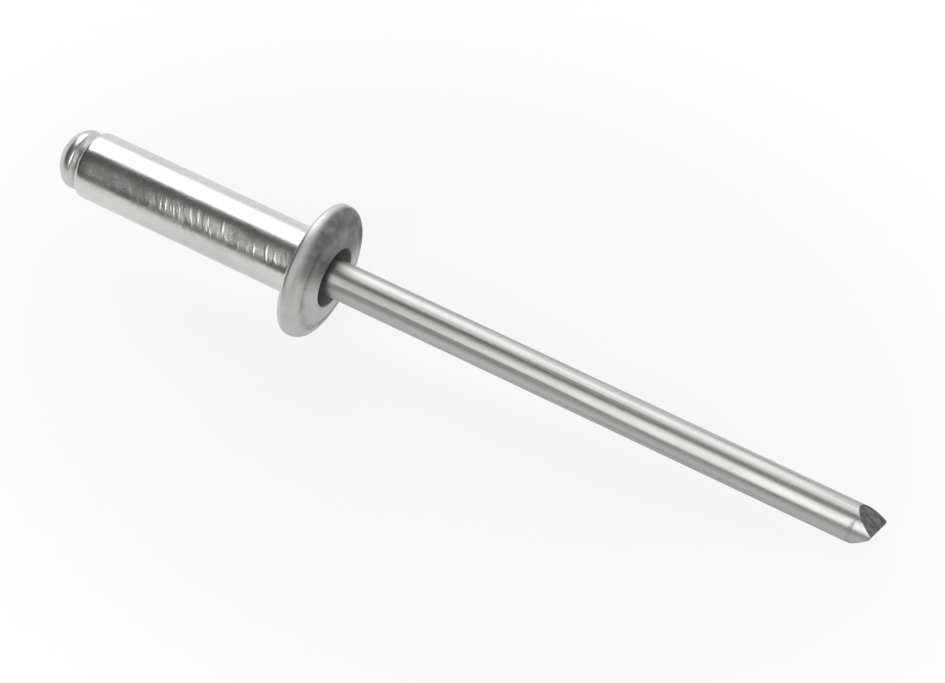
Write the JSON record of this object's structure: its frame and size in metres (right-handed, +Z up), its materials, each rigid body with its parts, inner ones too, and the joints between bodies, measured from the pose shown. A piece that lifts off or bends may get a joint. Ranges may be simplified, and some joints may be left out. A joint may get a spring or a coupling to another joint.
{
  "type": "pop rivet",
  "caption": "Open-end blind rivet: domed flange and hollow aluminium shank around a headed steel mandrel with a pinch-cut point.",
  "frame": {"origin": "on the rivet's axis, in the plane of the flange's seating face", "axes": "+X along the rivet as it lies, towards the mandrel's point, with the rivet's own axis dipping 5.02 degrees below +X; +Z up from the surface it lies on; +Y completes the right-handed frame"},
  "size_m": [0.0406, 0.0064, 0.0063],
  "materials": {
    "rivet_body": "bright formed aluminium with fine scuffs and faint forming rings",
    "mandrel": "satin drawn steel wire with fine lines along its length"
  },
  "bodies": {
    "root": {"rivet_body": "rivet_body", "mandrel": "mandrel"}
  },
  "joints": []
}
